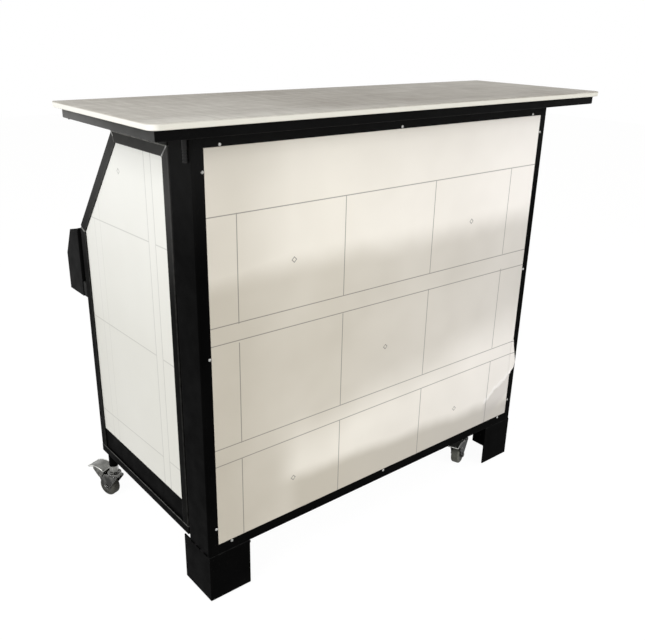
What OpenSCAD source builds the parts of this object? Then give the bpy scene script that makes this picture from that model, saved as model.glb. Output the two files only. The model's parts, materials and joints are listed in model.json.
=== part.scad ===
// Mobile bar unit: steel front frame, two side wings, lift-off counter, speed rail and casters.
// Millimetres, +Z up, front faces -Y, floor at z = 0.

/* [Front frame] */
// width over the outer faces of the two posts
body_w = 1070; // [900:5:1300]
// width of the post tube seen from the front
post_w = 25; // [20:1:40]
// height of the front top rail
top_rail_h = 28; // [22:1:40]
// height of the front bottom rail
bottom_rail_h = 26; // [20:1:40]
// depth of the post tube
post_d = 90; // [70:1:110]
// top of the posts, where the counter rests
post_top = 1068; // [1000:1:1120]
// outer corner radius of the posts
post_r = 6; // [3:0.5:10]
// wall of every steel tube
wall = 2; // [1.5:0.25:3]

/* [Legs] */
// top of the leg plates
leg_top = 130; // [125:1:140]
// gap between leg and floor
leg_clear = 8; // [4:1:12]
// width of the front leg plate
leg_w = 110; // [100:1:120]
// depth of the side leg plate
leg_d = 114; // [100:1:125]
// thickness of the leg plates
leg_t = 4; // [3:0.5:6]
// depth of the inner return flange
flange_d = 46; // [30:1:50]
// lower edge of the inner return flange
flange_z = 68; // [64:1:84]

/* [Front panel] */
// thickness of the infill panels
panel_t = 4; // [3:0.5:6]
// gap round the infill panels
panel_gap = 0.25; // [0.1:0.05:0.5]
// width of the panel stops
stop_w = 12; // [8:1:18]
// thickness of the panel stops
stop_t = 4; // [3:0.5:6]
// diameter of the screw heads
head_d = 7; // [6:0.5:10]
// height of the screw heads
head_h = 1.6; // [1:0.2:3]
// diameter of the screw shanks
shank_d = 3.5; // [3:0.5:5]
// length of the screw shanks
shank_l = 9; // [6:1:14]
// distance of the screws from the panel opening
screw_in = 4; // [4:0.25:6]
// distance of the end screws from the opening corners, along a rail
screw_end_x = 35; // [25:1:60]
// distance of the end screws from the opening corners, along a post
screw_end_z = 44; // [30:1:60]
// height of the middle screws as a share of the opening
screw_mid_share = 0.52; // [0.45:0.01:0.55]

/* [Wings] */
// side of the square wing tubes
wing_tube = 25; // [20:1:30]
// gap between post and wing
wing_gap = 7; // [4:0.5:10]
// step of the wing face inside the post face
wing_inset = 2; // [0:0.5:4]
// underside of the wings
wing_bottom = 136; // [134:1:145]
// height of the wing base rails
base_h = 22; // [18:1:30]
// gap between the wing top and the counter frame
riser_h = 34; // [20:1:45]
// rear face of the wings, measured from the front face
wing_rear = 570; // [500:1:620]
// rear end of the wing top edge, measured from the front face
wing_top_rear = 344; // [330:1:380]
// height where the slanted outer edge would meet the rear face
bend_z = 777; // [740:1:820]
// width of the welded face at the bend
bend_weld = 20; // [15:0.5:22]
// end web left in blind tube ends
tube_end = 3; // [2:0.5:5]
// step of the wing panel inside the tube face
recess = 4; // [3:0.5:6]
// top of the black kick plates
kick_top = 216; // [200:1:240]
// side of the square panel beads
bead = 10; // [8:1:12]
// height of the wing spacer blocks
spacer_h = 40; // [30:1:60]
// step of the wing spacer blocks inside the wing face
spacer_in = 8; // [4:0.5:12]
// heights of the wing spacers as shares of the post
spacer_shares = [0.14, 0.5, 0.86];
// length of the counter risers
riser_l = 40; // [30:1:60]

/* [Counter] */
// side overhang of the counter frame
side_over = 104; // [90:1:120]
// front overhang of the counter frame
front_over = 64; // [50:1:80]
// rear face of the counter frame, measured from the front face
counter_rear = 331; // [320:1:380]
// width of the counter frame tubes
frame_w = 25; // [20:1:30]
// height of the counter frame tubes
frame_h = 20; // [18:1:25]
// overhang of the slab round its frame
slab_over = 14; // [8:1:20]
// thickness of the slab
slab_t = 12; // [10:0.5:20]
// radius of the slab's front corners
slab_r = 20; // [12:1:30]
// radius of the slab's rear corners
slab_rear_r = 4; // [3:0.5:12]
// width of the cross bars, measured inwards from the post face
bar_w = 30; // [27:1:35]

/* [Barrel bolts] */
// diameter of the sliding bolts
bolt_d = 7; // [5:0.5:8]
// clearance round the sliding bolts, per side
run_clear = 0.05; // [0.02:0.01:0.09]
// outside diameter of the barrels
barrel_d = 10; // [9.5:0.5:14]
// width of the neck between barrel and post
neck_w = 4; // [3:0.5:6]
// length of the barrels
barrel_l = 26; // [20:1:32]
// distance of the barrels below the post top
barrel_drop = 6; // [4:1:12]
// distance of the bolts from the front face
bolt_y = 15; // [13:1:40]
// length of the grips
grip_l = 20; // [14:1:24]
// gap between grip and barrel
grip_gap = 2; // [1:0.5:4]
// depth of the grip grooves
groove = 0.8; // [0.4:0.1:1.2]
// reach of the bolts between the keeper lugs
bolt_throw = 14; // [8:1:16]
// gap between the bolts and the keeper lugs
lug_gap = 1; // [0.5:0.25:2]
// thickness of the keeper lugs
lug_t = 6; // [4:1:8]
// reach of the keeper lugs outside the post face
lug_reach = 13; // [12:1:16]

/* [Shelves] */
// distance of the work shelf's top below the bend of the wings
work_drop = 27; // [20:1:57]
// top of the lower shelf
low_z = 185; // [180:1:260]
// thickness of the shelves
shelf_t = 16; // [12:1:20]
// side gap of the shelves
shelf_gap = 1; // [0.5:0.25:2]
// gap behind the front frame
shelf_front = 4; // [2:1:20]
// distance of the shelf edge inside the wing rear face
shelf_back = 10; // [8:1:30]
// leg of the shelf angles
angle_l = 26; // [20:1:30]
// thickness of the shelf angles
angle_t = 3; // [2:0.5:4]

/* [Speed rail] */
// gap between wing rear face and speed rail
rail_off = 18; // [15:1:30]
// depth of the speed rail
rail_d = 84; // [70:1:110]
// distance of the speed rail's underside below the top of the tie bar
rail_hang = 143; // [130:1:150]
// height of the tall wall
rail_tall = 179; // [160:1:190]
// height of the low wall
rail_low = 97; // [80:1:120]
// width of the flat top of the end plates
rail_flat = 48; // [30:1:60]
// fall of the end plates' top edge over that width
rail_slope = 12; // [5:1:25]
// thickness of the speed rail sheet
sheet = 2; // [1.5:0.25:3]
// thickness of the rear tie bar
tie_t = 8; // [6:0.5:10]
// height of the rear tie bar
tie_h = 40; // [30:1:50]
// distance of the tie bar's top below the bend of the wings
tie_drop = 47; // [44:1:67]
// thickness of the hooks
hook_t = 4; // [3:0.5:5]
// width of the hooks
hook_w = 60; // [40:1:80]
// drop of the hook tongues
hook_drop = 18; // [12:1:24]
// gap between hook tongue and tie bar
hook_gap = 1; // [0.5:0.25:2]
// place of the hooks as a share of the half width
hook_share = 0.7; // [0.5:0.05:0.85]
// height of the rest pads
pad_h = 40; // [20:1:60]
// width of the rest pads
pad_w = 10; // [8:1:12]
// gap between the rest pads and the ends of the tie bar
pad_side = 2; // [1:0.5:3]
// gap between rest pads and wing
pad_gap = 0.3; // [0.2:0.1:0.6]

/* [Casters] */
// wheel diameter
wheel_d = 56; // [50:1:60]
// wheel width
wheel_w = 24; // [18:1:26]
// rounding of the tread edge
tread_r = 5; // [3:0.5:8]
// hub diameter
hub_d = 38; // [30:1:42]
// step of the hub inside the tyre, per side
hub_step = 1; // [0.5:0.5:2]
// axle diameter
axle_d = 8; // [6:0.5:10]
// diameter of the axle heads
axle_head_d = 13; // [10:0.5:15]
// height of the axle heads
axle_head_h = 3; // [2:0.5:4]
// distance of the axle behind the swivel line
trail = 22; // [18:1:26]
// side gap between wheel and fork
fork_gap = 1.5; // [1:0.25:2.5]
// thickness of the fork sheet
fork_t = 3; // [2:0.5:4]
// top of the fork
fork_top = 70; // [66:1:71]
// reach of the fork plate on the blunt side
fork_back = 18; // [14:1:19]
// reach of the fork plate on the wheel side
fork_front = 45; // [42:1:47]
// lowest point of the fork below the axle
fork_low = 7; // [5:0.5:9]
// crown diameter
crown_d = 38; // [32:1:39]
// height of the crown above the fork
crown_h = 7; // [5:0.5:8]
// width of the stem nut over its corners
nut_d = 25; // [22:0.5:28]
// underside of the stem sockets
socket_z = 100; // [94:1:104]
// gap between stem nut and socket
crown_gap = 0.3; // [0.2:0.1:0.6]
// stem diameter
stem_d = 11; // [8:0.5:12]
// stem length inside the socket
stem_l = 22; // [16:1:24]
// outside diameter of the sockets
socket_d = 24; // [18:1:25]
// distance of the pedal pin behind the swivel line
pin_x = 38; // [36:0.5:40]
// height of the pedal pin
pin_z = 62; // [60:0.5:64]
// diameter of the pedal pin
pin_d = 5; // [4:0.5:6]
// outside diameter of the pedal barrel
pedal_barrel_d = 9; // [8:0.5:10]
// near end of the pedal plate, measured from the swivel line
pedal_start = 23; // [21:0.5:26]
// far end of the pedal plate, measured from the swivel line
pedal_reach = 80; // [70:1:84]
// height of both ends of the pedal plate
pedal_z = 80; // [77:0.5:84]
// step of the pedal's side skirts behind the far end of its plate
skirt_back = 18; // [12:1:22]
// rise of the pedal plate's arch
pedal_arch = 7; // [4:0.5:9]
// thickness of the pedal sheet
pedal_t = 3; // [2:0.5:4]
// side gap of the pedal
pedal_gap = 0.5; // [0.3:0.1:1]
// reach of the brake shoe from its pin
shoe_l = 9; // [7:0.5:9.5]
// thickness of the brake shoe
shoe_t = 5; // [4:0.5:6]
// distance of the front swivel lines from the inner edge of the legs
stem_side = 20; // [18:1:30]
// distance of the front swivel lines from the front face
front_stem_y = 72; // [68:1:80]
// distance of the rear swivel lines from the wing rear face
rear_stem_y = 35; // [26:1:60]
// heading of the front left wheel
fl_turn = 115; // [90:1:150]
// heading of the front right wheel
fr_turn = 200; // [150:1:210]
// heading of the rear left wheel
rl_turn = 110; // [0:1:360]
// heading of the rear right wheel
rr_turn = 70; // [0:1:360]

/* [Hidden] */
$fn = 48;
// overrun of every cut
over = 1;
half = body_w / 2;
wheel_r = wheel_d / 2;
open_x = half - post_w;
open_z0 = leg_top + bottom_rail_h;
open_z1 = post_top - top_rail_h;
screw_z0 = open_z0 - screw_in;
screw_z1 = open_z1 + screw_in;
screw_x = open_x + screw_in;
screw_mid = open_z0 + screw_mid_share * (open_z1 - open_z0);
wing_x1 = half - wing_inset;
wing_x0 = wing_x1 - wing_tube;
wing_top = post_top - riser_h;
wing_front = post_d + wing_gap;
stile_in = wing_front + wing_tube;
rear_in = wing_rear - wing_tube;
base_top = wing_bottom + base_h;
top_in = wing_top - wing_tube;
slant_len = norm([wing_rear - wing_top_rear, wing_top - bend_z]);
slant_dy = (wing_rear - wing_top_rear) / slant_len;
slant_dz = (bend_z - wing_top) / slant_len;
slant_turn = atan2(slant_dz, slant_dy);
// unit step across the bend's welded face, halfway between the two tube normals
bend_norm = norm([1 - slant_dz, slant_dy]);
bend_y = (1 - slant_dz) / bend_norm;
bend_up = slant_dy / bend_norm;
bend_p = [rear_in, slant_z(wing_tube, rear_in)];
bend_q = [bend_p[0] + bend_weld * bend_y, bend_p[1] + bend_weld * bend_up];
bend_left = wing_tube - bend_weld * (bend_y * -slant_dz + bend_up * slant_dy);
bend_r = [bend_q[0] - bend_left * slant_dz, bend_q[1] + bend_left * slant_dy];
panel_x1 = wing_x1 - recess;
panel_x0 = panel_x1 - panel_t;
bead_x0 = panel_x0 - bead;
frame_x = half + side_over;
slab_x = frame_x + slab_over;
frame_top = post_top + frame_h;
bar_x0 = half - bar_w;
riser_y1 = counter_rear - frame_w;
bolt_x = half + barrel_d / 2;
barrel_top = post_top - barrel_drop;
barrel_low = barrel_top - barrel_l;
grip_top = barrel_low - grip_gap;
work_z = bend_z - work_drop;
shelf_x = wing_x0 - shelf_gap;
shelf_y0 = post_d + shelf_front;
shelf_y1 = wing_rear - shelf_back;
rail_y0 = wing_rear + rail_off;
rail_y1 = rail_y0 + rail_d;
tie_z = bend_z - tie_drop;
tie_x = wing_x1 - pad_w - pad_side;
rail_z = tie_z - rail_hang;
rail_top = rail_z + rail_tall;
rail_x = half - sheet;
hook_x = hook_share * half;
hook_y0 = wing_rear - hook_gap - hook_t;
fork_y0 = wheel_w / 2 + fork_gap;
fork_y1 = fork_y0 + fork_t;
pedal_y0 = fork_y1 + pedal_gap;
pedal_y1 = pedal_y0 + pedal_t;
front_stem_x = leg_w + stem_side;
rear_stem_x = wing_inset + wing_tube / 2;
rear_y = wing_rear - rear_stem_y;
total_d = front_over + slab_over + rail_y1;
front_y = front_over + slab_over - total_d / 2;

// height of a line parallel to the slanted outer edge, step inside it, at depth y
function slant_z(step, y) =
    wing_top - step * slant_dy + (y - wing_top_rear - step * slant_dz) * slant_dz / slant_dy;
// depth of the same line at height z
function slant_y(step, z) =
    wing_top_rear + step * slant_dz + (z - wing_top + step * slant_dy) * slant_dy / slant_dz;

// height of the arched pedal plate at a share of its length
function arch_z(share) = pedal_z + 4 * share * (1 - share) * pedal_arch;

module place() {
    translate([0, front_y, 0]) children();
}

// box between two corners
module box(a, b) {
    translate(a) cube(b - a);
}

// outline in depth and height, pushed along X
module side_prism(points, x0, x1) {
    translate([x0, 0, 0])
        rotate([90, 0, 90])
            linear_extrude(x1 - x0) polygon(points);
}

module right_hand() {
    mirror([1, 0, 0]) children();
}

// left post: rounded outer corners, hollow
module post_shape() {
    difference() {
        union() {
            box([-half + post_r, 0, leg_top], [-open_x, post_d, post_top]);
            box([-half, post_r, leg_top], [-open_x, post_d - post_r, post_top]);
            for (y = [post_r, post_d - post_r])
                translate([-half + post_r, y, leg_top]) cylinder(r = post_r, h = post_top - leg_top);
        }
        box([-half + wall, wall, leg_top - over], [-open_x - wall, post_d - wall, post_top + over]);
        panel_screw_shanks(shank_d);
    }
}

module screw_spots() {
    for (z = [screw_z0, screw_z1], x = [screw_end_x - open_x, 0, open_x - screw_end_x])
        translate([x, 0, z]) rotate([-90, 0, 0]) children();
    for (x = [-screw_x, screw_x], z = [open_z0 + screw_end_z, screw_mid, open_z1 - screw_end_z])
        translate([x, 0, z]) rotate([-90, 0, 0]) children();
}

module panel_screw_shanks(d) {
    screw_spots() translate([0, 0, -over]) cylinder(d = d, h = shank_l + over);
}

module front_left_post() {
    color("black") place() post_shape();
}

module front_right_post() {
    color("black") place() right_hand() post_shape();
}

module front_rail(z0, z1) {
    difference() {
        box([-open_x, 0, z0], [open_x, post_d, z1]);
        box([-open_x - over, wall, z0 + wall], [open_x + over, post_d - wall, z1 - wall]);
        panel_screw_shanks(shank_d);
    }
}

module front_top_rail() {
    color("black") place() front_rail(open_z1, post_top);
}

module front_bottom_rail() {
    color("black") place() front_rail(leg_top, open_z0);
}

module front_panel() {
    color("white") place()
        box([panel_gap - open_x, 0, open_z0 + panel_gap], [open_x - panel_gap, panel_t, open_z1 - panel_gap]);
}

module panel_stops() {
    y1 = panel_t + stop_t;
    color("black") place() {
        for (s = [-1, 1])
            box([s * open_x - (s + 1) / 2 * stop_w, panel_t, open_z0 + stop_w],
                [s * open_x + (1 - s) / 2 * stop_w, y1, open_z1 - stop_w]);
        box([-open_x, panel_t, open_z0], [open_x, y1, open_z0 + stop_w]);
        box([-open_x, panel_t, open_z1 - stop_w], [open_x, y1, open_z1]);
    }
}

module panel_screws() {
    color("silver") place()
        screw_spots() {
            cylinder(d = shank_d, h = shank_l);
            translate([0, 0, -head_h]) cylinder(d = head_d, h = head_h);
        }
}

module leg_shape() {
    box([-half, 0, leg_clear], [leg_w - half, leg_t, leg_top]);
    box([-half, 0, leg_clear], [leg_t - half, leg_d, leg_top]);
    box([leg_w - leg_t - half, 0, flange_z], [leg_w - half, flange_d, leg_top]);
    box([-half, 0, leg_top - leg_t], [leg_w - half, post_d, leg_top]);
}

module left_leg() {
    color("black") place() leg_shape();
}

module right_leg() {
    color("black") place() right_hand() leg_shape();
}

// wing parts are drawn for the left side
module front_stile_shape() {
    difference() {
        side_prism([[wing_front, base_top], [stile_in, base_top], [stile_in, top_in],
            [wing_front, wing_top]], -wing_x1, -wing_x0);
        box([wall - wing_x1, wing_front + wall, base_top - over],
            [-wing_x0 - wall, stile_in - wall, wing_top]);
    }
}

module top_rail_shape() {
    difference() {
        side_prism([[wing_front, wing_top], [stile_in, top_in], [slant_y(wing_tube, top_in), top_in],
            [wing_top_rear, wing_top]], -wing_x1, -wing_x0);
        box([wall - wing_x1, wing_front, top_in + wall], [-wing_x0 - wall, wing_top_rear, wing_top - wall]);
    }
}

module slant_shape() {
    difference() {
        side_prism([[wing_top_rear, wing_top], [slant_y(wing_tube, top_in), top_in], bend_p, bend_q, bend_r],
            -wing_x1, -wing_x0);
        translate([0, wing_top_rear, wing_top])
            rotate([slant_turn, 0, 0])
                box([wall - wing_x1, -wing_tube, wall - wing_tube],
                    [-wing_x0 - wall, slant_len - wing_tube, -wall]);
    }
}

module rear_stile_shape() {
    difference() {
        side_prism([[rear_in, base_top], [wing_rear, base_top], [wing_rear, bend_q[1]], bend_q, bend_p],
            -wing_x1, -wing_x0);
        box([wall - wing_x1, rear_in + wall, base_top - over],
            [-wing_x0 - wall, wing_rear - wall, bend_p[1] - tube_end]);
    }
}

module base_rail_shape() {
    difference() {
        box([-wing_x1, wing_front, wing_bottom], [-wing_x0, wing_rear, base_top]);
        box([wall - wing_x1, wing_front - over, wing_bottom + wall],
            [-wing_x0 - wall, wing_rear - tube_end, base_top - wall]);
    }
}

module wing_panel_shape() {
    g = panel_gap;
    side_prism([[stile_in + g, kick_top], [rear_in - g, kick_top],
        [rear_in - g, slant_z(wing_tube + g, rear_in - g)], [slant_y(wing_tube + g, top_in - g), top_in - g],
        [stile_in + g, top_in - g]], -panel_x1, -panel_x0);
}

module kick_shape() {
    box([-panel_x1, stile_in + panel_gap, base_top], [-panel_x0, rear_in - panel_gap, kick_top]);
}

module bead_shape() {
    step = wing_tube + bead;
    difference() {
        side_prism([[stile_in, base_top], [rear_in, base_top], bend_p, [slant_y(wing_tube, top_in), top_in],
            [stile_in, top_in]], -panel_x0, -bead_x0);
        for (low = [0, 1])
            side_prism(low == 0
                ? [[stile_in + bead, base_top + bead], [rear_in - bead, base_top + bead],
                    [rear_in - bead, kick_top - bead / 2], [stile_in + bead, kick_top - bead / 2]]
                : [[stile_in + bead, kick_top + bead / 2], [rear_in - bead, kick_top + bead / 2],
                    [rear_in - bead, slant_z(step, rear_in - bead)],
                    [slant_y(step, top_in - bead), top_in - bead], [stile_in + bead, top_in - bead]],
                -panel_x0 - over, over - bead_x0);
    }
}

module left_wing_front_stile() {
    color("black") place() front_stile_shape();
}

module left_wing_top_rail() {
    color("black") place() top_rail_shape();
}

module left_wing_slant() {
    color("black") place() slant_shape();
}

module left_wing_rear_stile() {
    color("black") place() rear_stile_shape();
}

module left_wing_base_rail() {
    color("black") place() base_rail_shape();
}

module left_wing_panel() {
    color("white") place() wing_panel_shape();
}

module left_kick_plate() {
    color("black") place() kick_shape();
}

module right_wing_front_stile() {
    color("black") place() right_hand() front_stile_shape();
}

module right_wing_top_rail() {
    color("black") place() right_hand() top_rail_shape();
}

module right_wing_slant() {
    color("black") place() right_hand() slant_shape();
}

module right_wing_rear_stile() {
    color("black") place() right_hand() rear_stile_shape();
}

module right_wing_base_rail() {
    color("black") place() right_hand() base_rail_shape();
}

module right_wing_panel() {
    color("white") place() right_hand() wing_panel_shape();
}

module right_kick_plate() {
    color("black") place() right_hand() kick_shape();
}

module wing_beads() {
    color("black") place() {
        bead_shape();
        right_hand() bead_shape();
    }
}

module wing_spacers() {
    color("black") place()
        for (s = [0, 1], k = spacer_shares)
            mirror([s, 0, 0])
                box([spacer_in - wing_x1, post_d, leg_top + k * (wing_top - leg_top) - spacer_h / 2],
                    [-open_x, wing_front, leg_top + k * (wing_top - leg_top) + spacer_h / 2]);
}

module counter_risers() {
    color("dimgray") place()
        for (s = [0, 1], y = [wing_front, riser_y1 - riser_l])
            mirror([s, 0, 0])
                box([-wing_x1, y, wing_top], [-wing_x0, y + riser_l, post_top]);
}

module counter_slab() {
    y0 = -front_over - slab_over;
    y1 = counter_rear + slab_over;
    color("white") place() {
        box([slab_r - slab_x, y0, frame_top], [slab_x - slab_r, y1, frame_top + slab_t]);
        box([slab_rear_r - slab_x, y0 + slab_r, frame_top], [slab_x - slab_rear_r, y1, frame_top + slab_t]);
        box([-slab_x, y0 + slab_r, frame_top], [slab_x, y1 - slab_rear_r, frame_top + slab_t]);
        for (s = [-1, 1], end = [[y0 + slab_r, slab_r], [y1 - slab_rear_r, slab_rear_r]])
            translate([s * (slab_x - end[1]), end[0], frame_top]) cylinder(r = end[1], h = slab_t);
    }
}

// long counter tube with mitred ends, its outer face at depth y0 and its inner side towards +Y
module counter_long(y0) {
    difference() {
        translate([0, y0, post_top])
            linear_extrude(frame_h)
                polygon([[-frame_x, 0], [frame_x, 0], [frame_x - frame_w, frame_w],
                    [frame_w - frame_x, frame_w]]);
        box([-frame_x, y0 + wall, post_top + wall], [frame_x, y0 + frame_w - wall, frame_top - wall]);
    }
}

module counter_front_tube() {
    color("black") place() counter_long(-front_over);
}

module counter_rear_tube() {
    color("black") place() translate([0, counter_rear, 0]) mirror([0, 1, 0]) counter_long(0);
}

module counter_side_tubes() {
    y0 = -front_over;
    y1 = counter_rear;
    color("black") place()
        for (s = [0, 1])
            mirror([s, 0, 0])
                difference() {
                    translate([0, 0, post_top])
                        linear_extrude(frame_h)
                            polygon([[-frame_x, y0], [frame_w - frame_x, y0 + frame_w],
                                [frame_w - frame_x, y1 - frame_w], [-frame_x, y1]]);
                    box([wall - frame_x, y0, post_top + wall],
                        [frame_w - wall - frame_x, y1, frame_top - wall]);
                }
}

module counter_cross_bars() {
    color("black") place()
        for (s = [0, 1])
            mirror([s, 0, 0])
                difference() {
                    box([-half, frame_w - front_over, post_top],
                        [-bar_x0, counter_rear - frame_w, frame_top]);
                    box([wall - half, frame_w - front_over - over, post_top + wall],
                        [-bar_x0 - wall, counter_rear - frame_w + over, frame_top - wall]);
                }
}

module bolt_keepers() {
    color("black") place()
        for (s = [0, 1], y = [bolt_y - bolt_d / 2 - lug_gap - lug_t, bolt_y + bolt_d / 2 + lug_gap])
            mirror([s, 0, 0])
                box([-half - lug_reach, y, post_top], [-half, y + lug_t, frame_top]);
}

module bolt_barrels() {
    color("silver") place()
        for (s = [0, 1])
            mirror([s, 0, 0])
                difference() {
                    union() {
                        translate([-bolt_x, bolt_y, barrel_low]) cylinder(d = barrel_d, h = barrel_l);
                        box([-bolt_x, bolt_y - neck_w / 2, barrel_low],
                            [-half, bolt_y + neck_w / 2, barrel_top]);
                    }
                    translate([-bolt_x, bolt_y, barrel_low - over])
                        cylinder(d = bolt_d + 2 * run_clear, h = barrel_l + 2 * over);
                }
}

module bolt_shape() {
    grip_r = barrel_d / 2 - run_clear;
    rib = grip_l / 7;
    translate([-bolt_x, bolt_y, 0]) {
        translate([0, 0, grip_top - over]) cylinder(d = bolt_d, h = post_top + bolt_throw - grip_top + over);
        translate([0, 0, grip_top - grip_l]) cylinder(r = grip_r - groove, h = grip_l);
        for (k = [0, 2, 4, 6])
            translate([0, 0, grip_top - grip_l + k * rib]) cylinder(r = grip_r - run_clear, h = rib);
    }
}

module left_bolt() {
    color("silver") place() bolt_shape();
}

module right_bolt() {
    color("silver") place() right_hand() bolt_shape();
}

module work_shelf() {
    color("white") place()
        box([-shelf_x, shelf_y0, work_z - shelf_t], [shelf_x, shelf_y1, work_z]);
}

module lower_shelf() {
    color("white") place()
        box([-shelf_x, shelf_y0, low_z - shelf_t], [shelf_x, shelf_y1, low_z]);
}

module shelf_angles() {
    color("black") place()
        for (s = [0, 1], z = [low_z - shelf_t, work_z - shelf_t], y = [wing_front, rear_in])
            mirror([s, 0, 0]) {
                box([-wing_x0, y, z - angle_l], [angle_t - wing_x0, y + wing_tube - shelf_back, z]);
                box([-wing_x0, y, z - angle_t], [angle_l - wing_x0, y + wing_tube - shelf_back, z]);
            }
}

module rear_tie_bar() {
    color("black") place()
        box([-tie_x, wing_rear, tie_z - tie_h], [tie_x, wing_rear + tie_t, tie_z]);
}

module rail_trough() {
    color("dimgray") place()
        side_prism([[rail_y0, rail_z], [rail_y1, rail_z], [rail_y1, rail_z + rail_low],
            [rail_y1 - sheet, rail_z + rail_low], [rail_y1 - sheet, rail_z + sheet],
            [rail_y0 + sheet, rail_z + sheet], [rail_y0 + sheet, rail_top], [rail_y0, rail_top]],
            -rail_x, rail_x);
}

module rail_ends() {
    color("dimgray") place()
        for (s = [0, 1])
            mirror([s, 0, 0])
                side_prism([[rail_y0, rail_z], [rail_y1, rail_z], [rail_y1, rail_z + rail_low],
                    [rail_y0 + rail_flat, rail_top - rail_slope], [rail_y0, rail_top]], -half, -rail_x);
}

module rail_hooks() {
    color("dimgray") place()
        for (x = [-hook_x, hook_x])
            side_prism([[hook_y0, tie_z - hook_drop], [hook_y0 + hook_t, tie_z - hook_drop],
                [hook_y0 + hook_t, tie_z], [rail_y0 - hook_t, tie_z], [rail_y0 - hook_t, tie_z - tie_h],
                [rail_y0, tie_z - tie_h], [rail_y0, tie_z + hook_t], [hook_y0, tie_z + hook_t]],
                x - hook_w / 2, x + hook_w / 2);
}

module rail_pads() {
    color("black") place()
        for (s = [0, 1])
            mirror([s, 0, 0])
                box([-wing_x1, wing_rear + pad_gap, rail_z], [pad_w - wing_x1, rail_y0, rail_z + pad_h]);
}

module socket_shape(top) {
    difference() {
        translate([0, 0, socket_z]) cylinder(d = socket_d, h = top - socket_z);
        translate([0, 0, socket_z - over]) cylinder(d = stem_d + 2 * run_clear, h = stem_l + 2 * over);
    }
}

module caster_sockets() {
    color("black") place()
        for (s = [-1, 1]) {
            translate([s * (half - front_stem_x), front_stem_y, 0]) socket_shape(leg_top);
            translate([s * (half - rear_stem_x), rear_y, 0]) socket_shape(wing_bottom);
        }
}

// caster parts are drawn with the swivel line on Z and the wheel towards +X
module fl_place() {
    place() translate([front_stem_x - half, front_stem_y, 0]) rotate([0, 0, fl_turn]) children();
}

module fr_place() {
    place() translate([half - front_stem_x, front_stem_y, 0]) rotate([0, 0, fr_turn]) children();
}

module rl_place() {
    place() translate([rear_stem_x - half, rear_y, 0]) rotate([0, 0, rl_turn]) children();
}

module rr_place() {
    place() translate([half - rear_stem_x, rear_y, 0]) rotate([0, 0, rr_turn]) children();
}

// outline across the fork, pushed along the axle
module fork_prism(points, y0, y1) {
    translate([0, y1, 0])
        rotate([90, 0, 0])
            linear_extrude(y1 - y0) polygon(points);
}

module cross_pin(x, z, d, y) {
    translate([x, -y, z]) rotate([-90, 0, 0]) cylinder(d = d, h = 2 * y);
}

module fork_shape() {
    low = wheel_r - fork_low;
    pin_r = pedal_barrel_d / 2;
    for (s = [-1, 1])
        fork_prism([[-fork_back, fork_top], [-fork_back, fork_top - 2 * fork_t],
            [trail - fork_low, low], [trail + fork_low, low], [fork_front, pin_z - pin_r],
            [fork_front, fork_top - fork_t], [trail, fork_top]],
            s > 0 ? fork_y0 : -fork_y1, s > 0 ? fork_y1 : -fork_y0);
    box([-fork_back, -fork_y1, fork_top - fork_t], [trail, fork_y1, fork_top]);
    translate([0, 0, fork_top - over]) cylinder(d = crown_d, h = crown_h + over);
    translate([0, 0, fork_top]) cylinder(d = nut_d, h = socket_z - crown_gap - fork_top, $fn = 6);
    translate([0, 0, fork_top]) cylinder(d = stem_d, h = socket_z + stem_l - fork_top);
    cross_pin(pin_x, pin_z, pin_d, pedal_y1);
    // riveted axle
    cross_pin(trail, wheel_r, axle_d, fork_y1);
    for (s = [0, 1])
        mirror([0, s, 0])
            translate([trail, fork_y1, wheel_r])
                rotate([-90, 0, 0]) cylinder(d = axle_head_d, h = axle_head_h);
}

module hub_shape() {
    h = wheel_w / 2 - hub_step;
    difference() {
        cross_pin(trail, wheel_r, hub_d, h);
        cross_pin(trail, wheel_r, axle_d + 2 * run_clear, h + over);
    }
}

module tyre_shape() {
    h = wheel_w / 2;
    translate([trail, 0, wheel_r])
        rotate([90, 0, 0])
            rotate_extrude() {
                translate([hub_d / 2, -h]) square([wheel_r - tread_r - hub_d / 2, wheel_w]);
                translate([hub_d / 2, tread_r - h]) square([wheel_r - hub_d / 2, wheel_w - 2 * tread_r]);
                for (v = [tread_r - h, h - tread_r])
                    translate([wheel_r - tread_r, v]) circle(r = tread_r);
            }
}

// arched plate with a skirt outside each fork plate, which turns on the pin and carries the brake shoe
module pedal_shape() {
    y = fork_y0 - pedal_gap;
    pin_r = pedal_barrel_d / 2;
    span = pedal_reach - pedal_start;
    steps = [0 : 1 / 8 : 1];
    top = [for (k = steps) [pedal_start + k * span, arch_z(k)]];
    under = [for (k = steps) [pedal_reach - k * span, arch_z(k) - pedal_t]];
    skirt = span - skirt_back;
    rim = [for (k = steps) [pedal_start + k * skirt, arch_z(k * skirt / span) - pedal_t / 2]];
    foot = [[pedal_reach - skirt_back, pedal_z - pedal_t], [pin_x + pin_r, pin_z - pin_r],
        [pin_x - pin_r, pin_z - pin_r], [pedal_start, pedal_z - pedal_t]];
    difference() {
        union() {
            fork_prism(concat(top, under), -pedal_y1, pedal_y1);
            for (s = [-1, 1])
                fork_prism(concat(rim, foot),
                    s > 0 ? pedal_y0 : -pedal_y1, s > 0 ? pedal_y1 : -pedal_y0);
            cross_pin(pin_x, pin_z, pedal_barrel_d, y);
            box([pin_x - shoe_t / 2, -y, pin_z - shoe_l],
                [pin_x + shoe_t / 2, y, arch_z((pin_x - pedal_start) / span) - pedal_t / 2]);
        }
        cross_pin(pin_x, pin_z, pin_d + 2 * run_clear, pedal_y1 + over);
    }
}

module fl_fork() {
    color("silver") fl_place() fork_shape();
}

module fl_hub() {
    color("gainsboro") fl_place() hub_shape();
}

module fl_tyre() {
    color("darkgray") fl_place() tyre_shape();
}

module fl_pedal() {
    color("silver") fl_place() pedal_shape();
}

module fr_fork() {
    color("silver") fr_place() fork_shape();
}

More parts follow.
